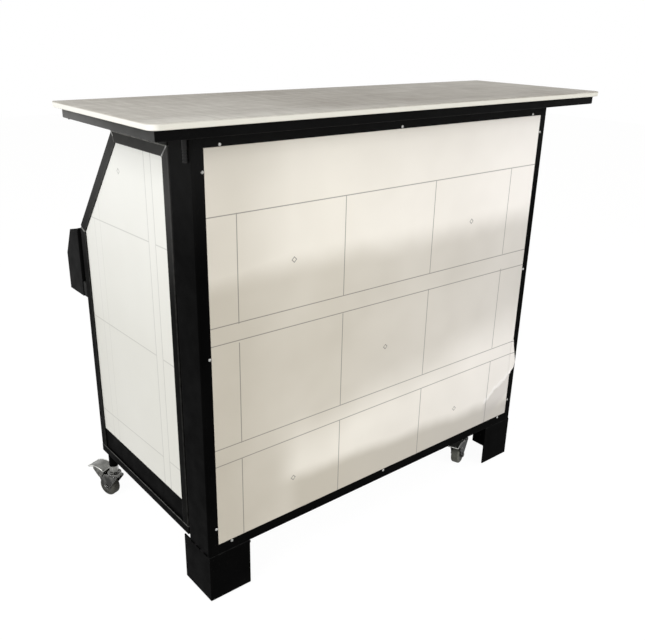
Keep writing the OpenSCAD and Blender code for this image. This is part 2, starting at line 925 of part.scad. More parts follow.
module fr_hub() {
    color("gainsboro") fr_place() hub_shape();
}

module fr_tyre() {
    color("darkgray") fr_place() tyre_shape();
}

module fr_pedal() {
    color("silver") fr_place() pedal_shape();
}

module rl_fork() {
    color("silver") rl_place() fork_shape();
}

module rl_hub() {
    color("gainsboro") rl_place() hub_shape();
}

module rl_tyre() {
    color("darkgray") rl_place() tyre_shape();
}

module rl_pedal() {
    color("silver") rl_place() pedal_shape();
}

module rr_fork() {
    color("silver") rr_place() fork_shape();
}

module rr_hub() {
    color("gainsboro") rr_place() hub_shape();
}

module rr_tyre() {
    color("darkgray") rr_place() tyre_shape();
}

module rr_pedal() {
    color("silver") rr_place() pedal_shape();
}

front_left_post();
front_right_post();
front_top_rail();
front_bottom_rail();
front_panel();
panel_stops();
panel_screws();
left_leg();
right_leg();
left_wing_front_stile();
left_wing_top_rail();
left_wing_slant();
left_wing_rear_stile();
left_wing_base_rail();
left_wing_panel();
left_kick_plate();
right_wing_front_stile();
right_wing_top_rail();
right_wing_slant();
right_wing_rear_stile();
right_wing_base_rail();
right_wing_panel();
right_kick_plate();
wing_beads();
wing_spacers();
counter_risers();
counter_slab();
counter_front_tube();
counter_rear_tube();
counter_side_tubes();
counter_cross_bars();
bolt_keepers();
bolt_barrels();
left_bolt();
right_bolt();
work_shelf();
lower_shelf();
shelf_angles();
rear_tie_bar();
rail_trough();
rail_ends();
rail_hooks();
rail_pads();
caster_sockets();
fl_fork();
fl_hub();
fl_tyre();
fl_pedal();
fr_fork();
fr_hub();
fr_tyre();
fr_pedal();
rl_fork();
rl_hub();
rl_tyre();
rl_pedal();
rr_fork();
rr_hub();
rr_tyre();
rr_pedal();
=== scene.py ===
"""Mobile bar unit: rounded tubes, screws, welds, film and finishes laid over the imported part."""

import json
import math

import bmesh
import bpy
from mathutils import Matrix, Vector


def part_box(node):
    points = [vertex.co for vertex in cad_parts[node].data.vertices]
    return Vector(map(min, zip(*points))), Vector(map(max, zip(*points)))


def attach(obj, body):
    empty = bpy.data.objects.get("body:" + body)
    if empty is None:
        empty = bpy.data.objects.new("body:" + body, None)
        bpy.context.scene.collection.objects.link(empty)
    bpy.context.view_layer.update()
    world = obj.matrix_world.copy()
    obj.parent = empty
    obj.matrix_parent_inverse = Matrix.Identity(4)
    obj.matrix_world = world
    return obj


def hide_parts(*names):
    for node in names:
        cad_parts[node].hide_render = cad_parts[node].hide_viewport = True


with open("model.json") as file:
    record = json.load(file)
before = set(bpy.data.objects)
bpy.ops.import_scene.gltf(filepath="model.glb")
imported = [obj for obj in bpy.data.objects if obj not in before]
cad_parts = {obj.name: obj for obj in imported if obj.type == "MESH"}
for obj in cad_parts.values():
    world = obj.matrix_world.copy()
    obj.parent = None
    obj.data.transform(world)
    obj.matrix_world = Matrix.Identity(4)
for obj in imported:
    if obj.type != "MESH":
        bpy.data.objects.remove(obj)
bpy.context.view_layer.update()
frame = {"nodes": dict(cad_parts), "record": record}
nodes = frame["nodes"]
record = frame["record"]
body_of = {n: b for b, members in record["behaviour"]["bodies"].items() for n in members}
slot_of = {s["node"]: s["material_slot"] for s in record["subparts"]}

# board and film tones
PANEL_CLEAR = (0.87, 0.83, 0.75)
# painted shade tone of the front board, warm, used to the left
PANEL_SHADE = (0.46, 0.42, 0.345)
PANEL_COOL = (0.92, 0.885, 0.845)
# painted shade tone of the front board, greyer, used to the right
PANEL_SHADE_GREY = (0.44, 0.415, 0.375)
WING_CLEAR = (0.91, 0.915, 0.88)
# painted shade tone of the wing boards, low down
WING_SHADE = (0.715, 0.71, 0.66)
FILM_INK = (0.12, 0.115, 0.11)
# painted shade below the peeled film's fold, then painted highlight along it
FILM_SHADE = (0.50, 0.475, 0.455)
FILM_HIGHLIGHT = (0.93, 0.90, 0.88)
# slab tones
SLAB_GREY = (0.29, 0.265, 0.228)
SLAB_LIGHT = (0.56, 0.54, 0.49)
# bare white of the slab's edge, also used for painted reflection streaks on top
SLAB_WHITE = (0.74, 0.725, 0.655)
SLAB_END = (0.90, 0.89, 0.84)
# zinc plate of the casters: painted shade low down, painted light high up and painted highlight along
# rounded edges
PLATE_SHADED = (0.03, 0.03, 0.028)
PLATE_LIT = (0.24, 0.24, 0.226)
PLATE_EDGE_HIGHLIGHT = (0.92, 0.92, 0.885)
# widths of the printed lines on the film, and half the width of the printed diamonds
FRONT_LINE = 0.0019
WING_LINE = 0.0024
SLAB_LINE = 0.004
DIAMOND_LINE = 0.0026
DIAMOND_HALF = 0.006
# outer face of the front board and top of the slab, in metres like all lengths here
BOARD_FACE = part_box("front_panel")[0].y
SLAB_TOP = 1.1
# a point closer than this to another is the same point
SAME_POINT = 1e-6
# faces of one flat side turn by less than the first, rounded edges by more than the second,
# edges round a tread by more than the third
FLAT_TURN = math.radians(0.4)
SHARP_TURN = math.radians(32.0)
TREAD_TURN = math.radians(50.0)
# the brake pedals' treads lie above this height
TREAD_LOW = 0.075
# inputs of the trees for screws and pedal lips
SCREW_SIZES = {"Head width": 0.007, "Head height": 0.0016, "Recess": 0.0009, "Seed": 3}
LIP_SIZES = {"Lip radius": 0.0014, "Sides": 10}
# inputs of the tree for welds, and the step from bead to bead as a share of the bead
WELD_SIZES = {"Bead": 0.0026, "Step": 0.0022, "Seed": 5}
BEAD_STEP = 0.85
# loose film: heights of its rows with the outer end of each, inner end, sheet thickness, points in a row
FILM_RIM = ((0.400, 0.5085), (0.382, 0.5110), (0.357, 0.5200), (0.336, 0.5250),
            (0.322, 0.5262), (0.306, 0.5252), (0.297, 0.5120), (0.290, 0.5085))
FILM_INNER = 0.502
FILM_SHEET = 0.00025
FILM_ACROSS = 7
# lamps of (name, place, size, power), and the point they look at
LAMPS = (
    ("left_lamp", (-3.4, -1.0, 2.6), 2.4, 85.0),
    ("front_lamp", (1.0, -3.8, 2.4), 2.6, 72.0),
    ("top_lamp", (0.4, 0.6, 3.8), 2.8, 10.0),
)
LAMP_AIM = Vector((0.0, -0.05, 0.55))
# half the width of the floor
FLOOR_HALF = 9
# the photograph's width and focal length in pixels, the camera's sensor in millimetres
PHOTO_WIDTH = 645.0
PHOTO_FOCAL = 754.174
SENSOR_WIDTH = 36.0
# the camera's place, and its turn, tilt and roll
EYE = Vector((-1.224607, -1.512508, 1.260965))
EYE_TURN = math.radians(39.584)
EYE_TILT = math.radians(21.69)
EYE_ROLL = math.radians(-1.159)
# casters by their corner, and the axes that run to the rear and up
CORNERS = ("fl", "fr", "rl", "rr")
DEPTH, HEIGHT = 1, 2


def grey(tone):
    """A neutral grey."""
    return (tone, tone, tone)


def shaded(tone, share):
    """A tone brought down to a share of itself."""
    return [c * share for c in tone]


class Finish:
    """A material being built: its node tree, its surface shader and short ways to add nodes."""

    def __init__(self, name, **shader):
        self.mat = bpy.data.materials.new(name)
        self.mat.use_nodes = True
        self.tree = self.mat.node_tree
        self.tree.nodes.clear()
        out = self.tree.nodes.new("ShaderNodeOutputMaterial")
        self.skin = self.tree.nodes.new("ShaderNodeBsdfPrincipled")
        self.tree.links.new(self.skin.outputs[0], out.inputs[0])
        for socket, value in shader.items():
            self.skin.inputs[socket.replace("_", " ")].default_value = value
        self.place = self.add("ShaderNodeTexCoord").outputs["Object"]

    def add(self, kind, **props):
        node = self.tree.nodes.new(kind)
        for key, value in props.items():
            setattr(node, key, value)
        return node

    def feed(self, socket, value):
        """A link if value is a socket, otherwise a plain value."""
        if isinstance(value, bpy.types.NodeSocket):
            self.tree.links.new(value, socket)
        else:
            socket.default_value = value

    def axes(self):
        """The x, y and z of the place on the object, in metres."""
        node = self.add("ShaderNodeSeparateXYZ")
        self.feed(node.inputs[0], self.place)
        return node.outputs

    def stretch(self, scale=(1, 1, 1), turn=(0, 0, 0), shift=(0, 0, 0)):
        """The place, moved, turned and scaled."""
        node = self.add("ShaderNodeMapping")
        self.feed(node.inputs["Vector"], self.place)
        node.inputs["Location"].default_value = shift
        node.inputs["Rotation"].default_value = turn
        node.inputs["Scale"].default_value = scale
        return node.outputs[0]

    def noise(self, scale, detail=2.0, rough=0.5, at=None):
        node = self.add("ShaderNodeTexNoise")
        self.feed(node.inputs["Vector"], at or self.place)
        node.inputs["Scale"].default_value = scale
        node.inputs["Detail"].default_value = detail
        node.inputs["Roughness"].default_value = rough
        return node.outputs["Fac"]

    def sum(self, kind, a, b=0.0, clamp=False):
        node = self.add("ShaderNodeMath", operation=kind, use_clamp=clamp)
        self.feed(node.inputs[0], a)
        self.feed(node.inputs[1], b)
        return node.outputs[0]

    def span(self, value, low, high, to_low=0.0, to_high=1.0, smooth=False):
        """value carried from low..high to to_low..to_high, held at the ends."""
        node = self.add("ShaderNodeMapRange", clamp=True)
        if smooth:
            node.interpolation_type = "SMOOTHSTEP"
        for k, v in enumerate((value, low, high, to_low, to_high)):
            self.feed(node.inputs[k], v)
        return node.outputs[0]

    def blend(self, share, a, b):
        """Colour a, changing to b by share."""
        node = self.add("ShaderNodeMix", data_type="RGBA")
        self.feed(node.inputs[0], share)
        for socket, c in ((node.inputs[6], a), (node.inputs[7], b)):
            self.feed(socket, c if isinstance(c, bpy.types.NodeSocket) else (*c, 1.0))
        return node.outputs[2]

    def mark(self, name):
        """The share stored on the mesh under this name."""
        return self.add("ShaderNodeAttribute", attribute_name=name).outputs["Fac"]

    def near(self, value, at, width):
        """1 on a line where value is at, falling to 0 beside it."""
        off = self.sum("ABSOLUTE", self.sum("SUBTRACT", value, at))
        return self.span(off, width * 0.35, width * 0.75, 1.0, 0.0)

    def inside(self, value, low, high, soft):
        """1 where value lies between low and high, with soft ends."""
        up = self.span(value, low - soft, low + soft, 0.0, 1.0, True)
        return self.sum("MULTIPLY", up, self.span(value, high - soft, high + soft, 1.0, 0.0, True))

    def colour(self, value):
        self.feed(self.skin.inputs["Base Color"], value)

    def rough(self, value):
        self.feed(self.skin.inputs["Roughness"], value)

    def bumps(self, *layers):
        """Bump layers of (height, strength, distance), the first lowest."""
        normal = None
        for height, strength, distance in layers:
            node = self.add("ShaderNodeBump")
            node.inputs["Strength"].default_value = strength
            node.inputs["Distance"].default_value = distance
            self.feed(node.inputs["Height"], height)
            if normal:
                self.feed(node.inputs["Normal"], normal)
            normal = node.outputs[0]
        self.feed(self.skin.inputs["Normal"], normal)


def powder_coat(name, deep, worn, gloss, specular, edge_highlight, rise=None):
    """Powder coat: orange peel, faint dust, and along rounded edges a painted highlight mixed with patchy
    edge wear.

    rise is (axis, low, high, tone) of an end painted paler, as painted light.
    """
    f = Finish(name, Specular_IOR_Level=specular)
    dust = f.span(f.noise(9.0, 4.0, 0.6), 0.42, 0.75)
    tone = f.blend(f.sum("MULTIPLY", dust, 0.5), deep, worn)
    if rise:
        # painted light: along axis the tone blends to the paler one
        axis, low, high, pale = rise
        cloudy = f.blend(dust, pale, shaded(pale, 0.8))
        tone = f.blend(f.span(f.axes()[axis], low, high, 0.0, 1.0, True), tone, cloudy)
    patchy = f.span(f.noise(60.0, 3.0), 0.30, 0.62, 0.3, 1.0)
    # painted highlight along rounded edges, strongest where they look up, mixed with patchy edge wear
    highlight_and_wear = f.sum("MULTIPLY", f.sum("POWER", f.mark("edge"), 2.0), patchy)
    f.colour(f.blend(highlight_and_wear, tone, edge_highlight))
    f.rough(f.span(f.noise(30.0, 3.0), 0.3, 0.7, gloss - 0.06, gloss + 0.08))
    f.bumps((f.noise(650.0, 2.0), 0.12, 0.0004), (f.noise(45.0, 1.0), 0.05, 0.002))
    return f.mat


def bright_zinc(name, tone, gloss, rim):
    """Zinc plate: fine brush lines, cloudy passivation, dull spots and a painted highlight on rounded
    edges.
    """
    f = Finish(name, Metallic=0.9, Specular_IOR_Level=0.3)
    cloud = f.span(f.noise(70.0, 3.0, 0.6), 0.38, 0.62)
    brush = f.noise(900.0, 2.0, 0.5, f.stretch((1.0, 1.0, 0.06)))
    plate = f.blend(cloud, tone, shaded(tone, 0.4))
    # painted highlight: rounded edges blend to the rim tone
    f.colour(f.blend(f.span(f.mark("edge"), 0.0, 0.5), plate, rim))
    dull = f.sum("ADD", f.sum("MULTIPLY", cloud, 0.6), f.sum("MULTIPLY", brush, 0.4))
    f.rough(f.span(dull, 0.25, 0.75, gloss, gloss + 0.2))
    f.bumps((brush, 0.08, 0.0002), (f.noise(160.0, 2.0), 0.06, 0.0005))
    return f.mat


def caster_plate(name, shine=1.0):
    """Zinc plated pressings: painted shade low down, painted light round the stem nut and pedal, painted
    highlight on rounded edges.

    shine below 1 dulls the metal and darkens its tones as painted shade.
    """
    f = Finish(name, Metallic=0.9 * shine, Specular_IOR_Level=0.3 * shine)
    z = f.axes()[HEIGHT]
    cloud = f.span(f.noise(48.0, 3.0, 0.5), 0.36, 0.64, -0.26, 0.26)
    # painted shade low down turning to painted light higher up, with random cloud
    share = f.sum("ADD", f.span(z, 0.058, 0.094), cloud, True)
    plate = f.blend(share, shaded(PLATE_SHADED, shine), shaded(PLATE_LIT, shine))
    # painted highlight on rounded edges
    f.colour(f.blend(f.span(f.mark("edge"), 0.0, 0.5), plate, PLATE_EDGE_HIGHLIGHT))
    brush = f.noise(900.0, 2.0, 0.5, f.stretch((1.0, 1.0, 0.06)))
    f.rough(f.span(brush, 0.25, 0.75, 0.44 - 0.3 * shine, 0.60 - 0.3 * shine))
    f.bumps((brush, 0.08, 0.0002), (f.noise(160.0, 2.0), 0.06, 0.0005))
    return f.mat


def moulded(name, tone, shade, gloss, grain):
    """Moulded plastic or rubber: fine grain, a darker handled tone and darker towards the floor."""
    f = Finish(name, Specular_IOR_Level=0.12)
    worn = f.span(f.noise(35.0, 4.0, 0.6), 0.35, 0.7)
    low = f.span(f.axes()[HEIGHT], 0.0, 0.03, 0.5, 0.0)
    f.colour(f.blend(f.sum("ADD", f.sum("MULTIPLY", worn, 0.7), low, True), tone, shade))
    f.rough(f.span(f.noise(80.0, 2.0), 0.3, 0.7, gloss - 0.07, gloss + 0.07))
    f.bumps((f.noise(grain, 2.0), 0.15, 0.0003))
    return f.mat


def laminate(name, tone, shade):
    """Matt shelf laminate: pebble grain and faint rub marks."""
    f = Finish(name, Specular_IOR_Level=0.3)
    rub = f.span(f.noise(14.0, 5.0, 0.65, f.stretch((0.3, 1.0, 1.0))), 0.45, 0.75)
    f.colour(f.blend(f.sum("MULTIPLY", rub, 0.6), tone, shade))
    f.rough(f.span(rub, 0.0, 1.0, 0.55, 0.42))
    f.bumps((f.noise(1100.0, 1.0), 0.1, 0.0002))
    return f.mat


def film_tone(f, share, clear, shade_tone):
    """White board seen through clear film, turning to a painted shade tone where share is high."""
    cloud = f.span(f.noise(3.2, 3.0, 0.55), 0.3, 0.7, -0.10, 0.10)
    return f.blend(f.sum("ADD", share, cloud, True), clear, shade_tone)


def film_creases(f, at):
    """Long soft wrinkles and fine drag lines of the protective film."""
    wave = f.noise(5.0, 2.0, 0.45, at)
    drag = f.span(f.noise(38.0, 2.0, 0.5, at), 0.55, 0.8)
    return wave, drag


def diamond(f, x, z, at_x, at_z):
    """A small printed diamond outline."""
    across = f.sum("ABSOLUTE", f.sum("SUBTRACT", x, at_x))
    up = f.sum("ABSOLUTE", f.sum("SUBTRACT", z, at_z))
    return f.near(f.sum("ADD", across, up), DIAMOND_HALF, DIAMOND_LINE)


def front_film():
    """Front board: printed ruled lines, painted shade to the lower left and along the bottom, a lighter
    painted reflection low down, and painted shade and highlight at the peeled fold.
    """
    f = Finish("front_film", Specular_IOR_Level=0.2)
    x, y, z = f.axes()
    ripple = f.span(f.noise(6.0, 2.0), 0.2, 0.8, -0.012, 0.012)
    height = f.sum("ADD", z, ripple)
    # painted shade: the board darker to the left and low down
    left = f.span(x, -0.47, -0.24, 0.2, 0.0, True)
    low = f.span(height, 0.735, 0.815, 0.60, 0.05, True)
    low = f.sum("MAXIMUM", low, f.sum("MULTIPLY", left, 1.25))
    # painted reflection: a lighter slanting stretch low down, right of the left end
    rise = f.sum("SUBTRACT", height, f.sum("MULTIPLY", x, 0.16))
    past_left = f.span(x, -0.37, -0.27, 0.0, 1.0, True)
    reflection_band = f.sum("MULTIPLY", f.span(rise, 0.31, 0.47, 0.48, 0.0, True), past_left)
    share = f.sum("SUBTRACT", f.sum("ADD", left, low), reflection_band)
    right = f.span(x, -0.2, 0.5)
    shade_tone = f.blend(right, PANEL_SHADE, PANEL_SHADE_GREY)
    tone = film_tone(f, share, f.blend(right, PANEL_CLEAR, PANEL_COOL), shade_tone)
    # painted shade along the bottom of the board
    fall = f.sum("ADD", height, f.sum("MULTIPLY", x, 0.06))
    under = f.sum("MULTIPLY", f.span(fall, 0.215, 0.262, 1.0, 0.0, True), past_left)
    tone = f.blend(f.sum("MULTIPLY", under, 0.75), tone, shade_tone)
    slope = f.sum("SUBTRACT", z, f.sum("MULTIPLY", x, 0.607))
    slope = f.sum("ADD", slope, f.span(f.noise(55.0, 2.0), 0.3, 0.7, -0.006, 0.006))
    on_face = f.span(y, BOARD_FACE + 0.0008, BOARD_FACE + 0.0016, 1.0, 0.0)
    reach = f.sum("MULTIPLY", f.inside(x, 0.402, 0.540, 0.01), on_face)
    # painted shade below the fold
    below = f.sum("MULTIPLY", f.inside(slope, -0.085, -0.018, 0.014), reach)
    tone = f.blend(f.sum("MULTIPLY", below, 0.5), tone, FILM_SHADE)
    # painted highlight along the fold, which also carries the bump
    fold = f.sum("MULTIPLY", f.near(slope, -0.014, 0.012), reach)
    tone = f.blend(f.sum("MULTIPLY", fold, 0.8), tone, FILM_HIGHLIGHT)
    rows = None
    for low_z, high_z in ((0.678, 0.910), (0.397, 0.636), (0.1, 0.357)):
        row = f.inside(z, low_z, high_z, 0.0006)
        rows = f.sum("ADD", rows, row, True) if rows else row
    ink = None
    for at, lean in ((0.910, 0.003), (0.678, -0.006), (0.636, -0.012), (0.397, -0.004), (0.357, -0.002)):
        line = f.near(f.sum("SUBTRACT", z, f.sum("MULTIPLY", x, lean)), at, FRONT_LINE)
        ink = f.sum("MAXIMUM", ink, line) if ink else line
    for at in (-0.442, -0.159, 0.125, 0.411):
        ink = f.sum("MAXIMUM", ink, f.sum("MULTIPLY", f.near(x, at, FRONT_LINE), rows))
    for mark_x, mark_z in ((-0.30, 0.79), (0.268, 0.79), (-0.017, 0.515), (-0.30, 0.25), (0.268, 0.25)):
        ink = f.sum("MAXIMUM", ink, diamond(f, x, z, mark_x, mark_z))
    f.colour(f.blend(f.sum("MULTIPLY", ink, 0.7), tone, FILM_INK))
    wave, drag = film_creases(f, f.stretch((0.5, 1.0, 1.6), (0.0, 0.35, 0.0)))
    f.rough(f.span(drag, 0.0, 1.0, 0.38, 0.30))
    f.bumps((wave, 0.12, 0.008), (fold, 0.4, 0.003))
    return f.mat


def wing_film():
    """Wing board: the same film with its own ruled lines, painted shade darkening it towards the bottom."""
    f = Finish("wing_film", Specular_IOR_Level=0.2)
    _, y, z = f.axes()
    # painted shade: darker towards the bottom
    tone = film_tone(f, f.span(z, 0.55, 1.0, 0.95, 0.05), WING_CLEAR, WING_SHADE)
    clear_of_gap = f.sum("SUBTRACT", 1.0, f.inside(y, -0.120, -0.090, 0.0006))
    ink = None
    for at, lean in ((0.8165, -0.02), (0.553, -0.02), (0.288, -0.04)):
        line = f.near(f.sum("SUBTRACT", z, f.sum("MULTIPLY", y, lean)), at, WING_LINE)
        line = f.sum("MULTIPLY", line, clear_of_gap)
        ink = f.sum("MAXIMUM", ink, line) if ink else line
    for at in (-0.120, -0.090, 0.158, 0.190):
        upright = f.sum("MULTIPLY", f.near(y, at, WING_LINE), 1.0 if at < 0.0 else 0.4)
        ink = f.sum("MAXIMUM", ink, upright)
    ink = f.sum("MAXIMUM", ink, f.sum("MULTIPLY", diamond(f, y, z, 0.035, 0.948), 1.6))
    f.colour(f.blend(f.sum("MULTIPLY", ink, 0.28), tone, FILM_INK))
    wave, drag = film_creases(f, f.stretch((1.0, 1.6, 0.35)))
    f.rough(f.span(drag, 0.0, 1.0, 0.38, 0.30))
    f.bumps((wave, 0.12, 0.008))
    return f.mat


def slab_film():
    """Counter slab: greyish film on top with painted reflection streaks and a printed line, bare white on
    the edge.
    """
    f = Finish("slab_film", Specular_IOR_Level=0.1)
    x, y, z = f.axes()
    top = f.span(z, SLAB_TOP - 0.003, SLAB_TOP - 0.001)
    cloud = f.span(f.noise(2.6, 4.0, 0.55), 0.3, 0.7, 0.0, 0.4)
    cloud = f.sum("ADD", cloud, f.span(f.sum("ABSOLUTE", x), 0.2, 0.6, 0.0, 0.25))
    fleck = f.span(f.noise(70.0, 4.0, 0.7, f.stretch((1.0, 0.14, 1.0))), 0.34, 0.66, -0.17, 0.17)
    smear = f.span(f.noise(30.0, 4.0, 0.7, f.stretch((0.25, 1.0, 1.0))), 0.34, 0.66, -0.12, 0.12)
    cloud = f.sum("ADD", cloud, f.sum("ADD", fleck, smear))
    rim = f.sum("MULTIPLY", f.span(y, -0.36, -0.30, 0.45, 0.0), f.span(x, -0.3, 0.3, 1.0, 0.0))
    tone = f.blend(f.sum("ADD", cloud, rim, True), SLAB_GREY, SLAB_LIGHT)
    # painted reflection: long light streaks on top, stronger towards the right end
    drawn = f.stretch((0.12, 1.0, 1.0), (0.0, 0.0, 0.15))
    reflection_streak = f.span(f.noise(26.0, 4.0, 0.6, drawn), 0.60, 0.78)
    reflection_streak = f.sum("MULTIPLY", reflection_streak, f.span(x, 0.0, 0.55, 0.1, 0.45))
    tone = f.blend(reflection_streak, tone, SLAB_WHITE)
    ink = f.sum("MULTIPLY", f.near(y, -0.318, SLAB_LINE), f.span(f.noise(22.0, 2.0), 0.42, 0.55))
    tone = f.blend(f.sum("MULTIPLY", ink, 0.3), tone, FILM_INK)
    end = f.span(f.sum("ABSOLUTE", x), 0.636, 0.648)
    f.colour(f.blend(top, f.blend(end, SLAB_WHITE, SLAB_END), tone))
    f.rough(f.span(cloud, 0.0, 1.0, 0.5, 0.42))
    wave = f.noise(9.0, 3.0, 0.5, f.stretch((0.4, 1.0, 1.0)))
    f.bumps((wave, 0.08, 0.003), (fleck, 0.1, 0.0004))
    return f.mat


# frame: paler towards the top as painted light
frame_coat = powder_coat("frame_coat", grey(0.0011), grey(0.003), 0.5, 0.009, grey(0.014),
                         (HEIGHT, 0.80, 1.08, grey(0.010)))
# wing tubes: paler towards the top as painted light, and a bright painted highlight on rounded edges
wing_coat = powder_coat("wing_coat", (0.0015, 0.0015, 0.0013), (0.004, 0.004, 0.0036), 0.5, 0.011,
                        (0.26, 0.26, 0.25), (HEIGHT, 0.66, 1.0, (0.056, 0.056, 0.055)))
# base rails: painted highlight along their rounded edges
base_coat = powder_coat("base_coat", grey(0.0011), grey(0.003), 0.5, 0.008, (0.12, 0.12, 0.115))
counter_coat = powder_coat("counter_coat", grey(0.002), grey(0.006), 0.5, 0.03, grey(0.025))
# counter side tubes: the counter's black coat lightened as painted light from the left, paler still towards
# the rear
lit_side_coat = powder_coat("lit_side_coat", (0.045, 0.045, 0.044), (0.06, 0.06, 0.058), 0.5, 0.1,
                        (0.12, 0.12, 0.118), (DEPTH, -0.30, 0.03, (0.125, 0.125, 0.122)))
rail_coat = powder_coat("rail_coat", grey(0.004), grey(0.011), 0.5, 0.02, grey(0.04))
bolt_coat = powder_coat("bolt_coat", grey(0.022), grey(0.06), 0.4, 0.1, grey(0.14))
finishes = {
    "frame_black": frame_coat,
    "counter_black": counter_coat,
    "kick_black": base_coat,
    "rail_black": rail_coat,
    "bolt_zinc": bolt_coat,
    "slab_white": slab_film(),
    "shelf_white": laminate("shelf_laminate", (0.70, 0.70, 0.68), (0.58, 0.57, 0.54)),
    "screw_zinc": bright_zinc("screw_zinc", (0.50, 0.50, 0.48), 0.3, (0.6, 0.6, 0.58)),
    "caster_zinc": caster_plate("caster_zinc"),
    "hub_grey": moulded("hub_grey", (0.09, 0.09, 0.08), (0.05, 0.05, 0.045), 0.5, 700.0),
    "tyre_grey": moulded("tyre_grey", (0.080, 0.079, 0.069), (0.042, 0.042, 0.036), 0.62, 900.0),
    "pad_rubber": moulded("pad_rubber", grey(0.012), (0.02, 0.02, 0.019), 0.7, 800.0),
}

# nodes whose finish differs from that of their slot
WING_TUBES = [f"{side}_wing_{tube}" for side in ("left", "right")
              for tube in ("front_stile", "top_rail", "slant", "rear_stile", "base_rail")]
own_finish = {"front_panel": front_film(), "counter_side_tubes": lit_side_coat}
own_finish.update(dict.fromkeys(("left_wing_panel", "right_wing_panel"), wing_film()))
own_finish.update((tube, base_coat if tube.endswith("base_rail") else wing_coat) for tube in WING_TUBES)
# front casters: the plate darkened as painted shade
shaded_plate = caster_plate("caster_zinc_shaded", 0.3)
# front tyres in a lighter tone
lighter_tyre = moulded("tyre_lighter", (0.165, 0.167, 0.146), (0.10, 0.10, 0.088), 0.62, 900.0)
own_finish.update(dict.fromkeys(("fl_fork", "fr_fork", "fl_pedal", "fr_pedal"), shaded_plate))
own_finish.update(dict.fromkeys(("fl_tyre", "fr_tyre"), lighter_tyre))


def finish_of(node):
    return own_finish.get(node) or finishes[slot_of[node]]


def own_skin(node):
    """A node's own skin, doubles merged."""
    bm = bmesh.new()
    bm.from_mesh(nodes[node].data)
    bmesh.ops.remove_doubles(bm, verts=bm.verts, dist=SAME_POINT)
    return bm


def loose_solids(node):
    """The separate solids of a node as lists of points."""
    bm = own_skin(node)
    seen, solids = set(), []
    for start in bm.verts:
        if start in seen:
            continue
        seen.add(start)
        stack, solid = [start], []
        while stack:
            v = stack.pop()
            solid.append(v.co.copy())
            for e in v.link_edges:
                other = e.other_vert(v)
                if other not in seen:
                    seen.add(other)
                    stack.append(other)
        solids.append(solid)
    bm.free()
    return solids


def box_of(points):
    """The lowest and the highest corner of the box round some points."""
    return [Vector([pick(p[k] for p in points) for k in range(3)]) for pick in (min, max)]


def closed_tubes(node):
    """The outer skin of each tube or bar of a node, with its hollow closed."""
    bm = bmesh.new()
    for solid in loose_solids(node):
        verts = [bm.verts.new(p) for p in solid]
        out = bmesh.ops.convex_hull(bm, input=verts)
        spare = {v for v in out["geom_interior"] + out["geom_unused"] if isinstance(v, bmesh.types.BMVert)}
        bmesh.ops.delete(bm, geom=[v for v in spare if v.is_valid], context="VERTS")
    return bm


def flatten(obj):
    """Applies an object's modifiers as a plain mesh."""
    bpy.context.view_layer.update()
    made = obj.evaluated_get(bpy.context.evaluated_depsgraph_get())
    mesh = bpy.data.meshes.new_from_object(made)
    mesh.name = obj.name
    obj.modifiers.clear()
    obj.data = mesh


def hand_over(obj, body, stands_for):
    """Makes a piece plain, rides it on its body and hides the nodes it stands for."""
    flatten(obj)
    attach(obj, body)
    if stands_for:
        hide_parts(*stands_for)


def finish_mesh(bm, name, body, mat, stands_for=()):
    """Turns a bmesh into a finished piece with even shading."""
    mesh = bpy.data.meshes.new(name)
    bm.to_mesh(mesh)
    bm.free()
    mesh.materials.append(mat)
    mesh.shade_smooth()
    obj = bpy.data.objects.new(name, mesh)
    bpy.context.scene.collection.objects.link(obj)
    obj.modifiers.new("even_shading", "WEIGHTED_NORMAL").keep_sharp = True
    hand_over(obj, body, stands_for)


def join_flats(bm):
    """Joins the triangles of each flat side into one face."""
    bmesh.ops.dissolve_limit(bm, angle_limit=FLAT_TURN, verts=bm.verts, edges=bm.edges)


def soften(bm, radius, steps):
    """Rounds every sharp edge and marks the rounding for a painted highlight with some edge wear, marked
    fully where it looks up, the way light falls from above.
    """
    join_flats(bm)
    edges = [e for e in bm.edges if e.is_manifold and e.calc_face_angle() > SHARP_TURN]
    made = bmesh.ops.bevel(bm, geom=edges, offset=radius, offset_type="OFFSET", segments=steps,
                           profile=0.5, affect="EDGES", clamp_overlap=True)
    rounded = set(made["faces"])
    layer = bm.loops.layers.float_color.new("edge")
    for face in bm.faces:
        # rounding that looks up is marked fully for painted highlight, the rest lightly
        share = (1.0 if face.normal.z > 0.2 else 0.3) if face in rounded else 0.0
        for loop in face.loops:
            loop[layer] = (*grey(share), 1.0)
    return bm


def dress(node, radius, steps=3, folded=False):
    """A rounded copy of a node that stands in for it."""
    bm = soften(own_skin(node) if folded else closed_tubes(node), radius, steps)
    finish_mesh(bm, node + "_rounded", body_of[node], finish_of(node), (node,))


POSTS = ("front_left_post", "front_right_post")
RAILS = ("front_top_rail", "front_bottom_rail")
for tube in POSTS + RAILS:
    dress(tube, 0.0012)
for tube in WING_TUBES:
    dress(tube, 0.0014 if tube.endswith("base_rail") else 0.0026)
for plate in ("left_kick_plate", "right_kick_plate"):
    dress(plate, 0.0006)
for board in ("front_panel", "left_wing_panel", "right_wing_panel"):
    dress(board, 0.0008)
for tube in ("counter_front_tube", "counter_rear_tube", "counter_side_tubes", "counter_cross_bars"):
    dress(tube, 0.0018)
dress("bolt_keepers", 0.001)
dress("counter_slab", 0.0022, 4)
dress("counter_risers", 0.0015)
dress("wing_spacers", 0.001)
for shelf in ("work_shelf", "lower_shelf"):
    dress(shelf, 0.001)
dress("rear_tie_bar", 0.001)
dress("rail_pads", 0.002)
dress("rail_ends", 0.0006)
for sheet in ("rail_trough", "rail_hooks"):
    dress(sheet, 0.0007, folded=True)
dress("shelf_angles", 0.0009, folded=True)
for leg in ("left_leg", "right_leg"):
    dress(leg, 0.0015, folded=True)
